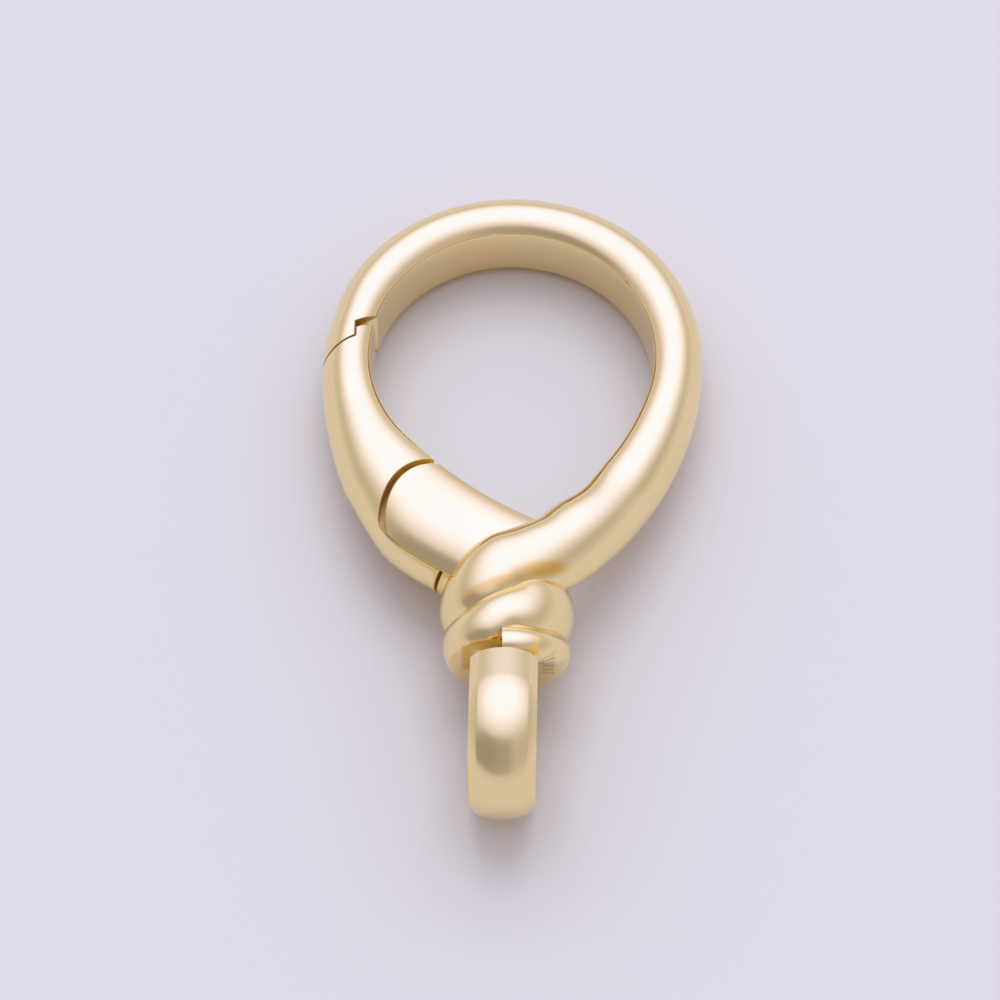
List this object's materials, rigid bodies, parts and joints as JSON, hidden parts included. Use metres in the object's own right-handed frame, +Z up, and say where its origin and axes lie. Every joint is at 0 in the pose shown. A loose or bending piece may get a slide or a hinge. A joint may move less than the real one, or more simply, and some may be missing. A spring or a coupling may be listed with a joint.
{
  "type": "push-gate ring clasp",
  "caption": "Teardrop ring clasp with a sprung gate that is pushed inward, a wire-wound neck and a round fixed bail.",
  "frame": {"origin": "on the surface the clasp lies on, below the middle of its bounding box", "axes": "+Y from the bail towards the ring, +Z up, +X away from the gate's side"},
  "size_m": [0.0195, 0.035, 0.0083],
  "materials": {
    "gold": "polished",
    "pin_gold": "satin"
  },
  "bodies": {
    "frame": {"body": "gold", "hinge_pin": "pin_gold"},
    "gate": {"gate": "gold"}
  },
  "joints": [
    {"name": "gate_swing", "type": "hinge", "parent": "frame", "child": "gate", "pos_m": [-0.00305, -0.00216, 0.00336], "axis": [0, -0.0699, -0.9976], "range_deg": [0, 20], "stiffness_Nm_per_rad": 0.01, "springref_deg": -22.92}
  ]
}
